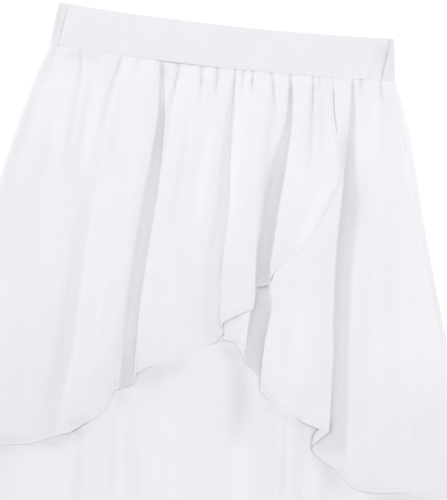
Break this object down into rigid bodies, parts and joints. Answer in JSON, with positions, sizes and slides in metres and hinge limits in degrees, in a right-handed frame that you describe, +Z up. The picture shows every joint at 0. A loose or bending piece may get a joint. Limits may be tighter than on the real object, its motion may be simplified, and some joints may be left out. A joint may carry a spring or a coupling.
{
  "type": "dance skirt laid flat",
  "caption": "Gathered chiffon dance skirt laid flat: elastic waistband, crossed tulip-hem over-skirt petals on a long under-skirt.",
  "frame": {"origin": "on the surface that the skirt lies on, under the middle of its whole length and width", "axes": "+Y from the hem to the waist, +X to the right of the front as seen from above, +Z up from the surface"},
  "size_m": [0.7551, 0.8852, 0.0193],
  "materials": {
    "elastic_casing": "white chiffon casing drawn smooth over wide ribbed elastic",
    "over_skirt_chiffon": "matt white chiffon with a faint cool sheen",
    "under_skirt_chiffon": "matt white chiffon"
  },
  "bodies": {
    "root": {"waistband_front": "elastic_casing", "waistband_back": "elastic_casing", "over_front_left": "over_skirt_chiffon", "over_front_right": "over_skirt_chiffon", "over_back": "over_skirt_chiffon", "under_front": "under_skirt_chiffon", "under_back": "under_skirt_chiffon"}
  },
  "joints": []
}
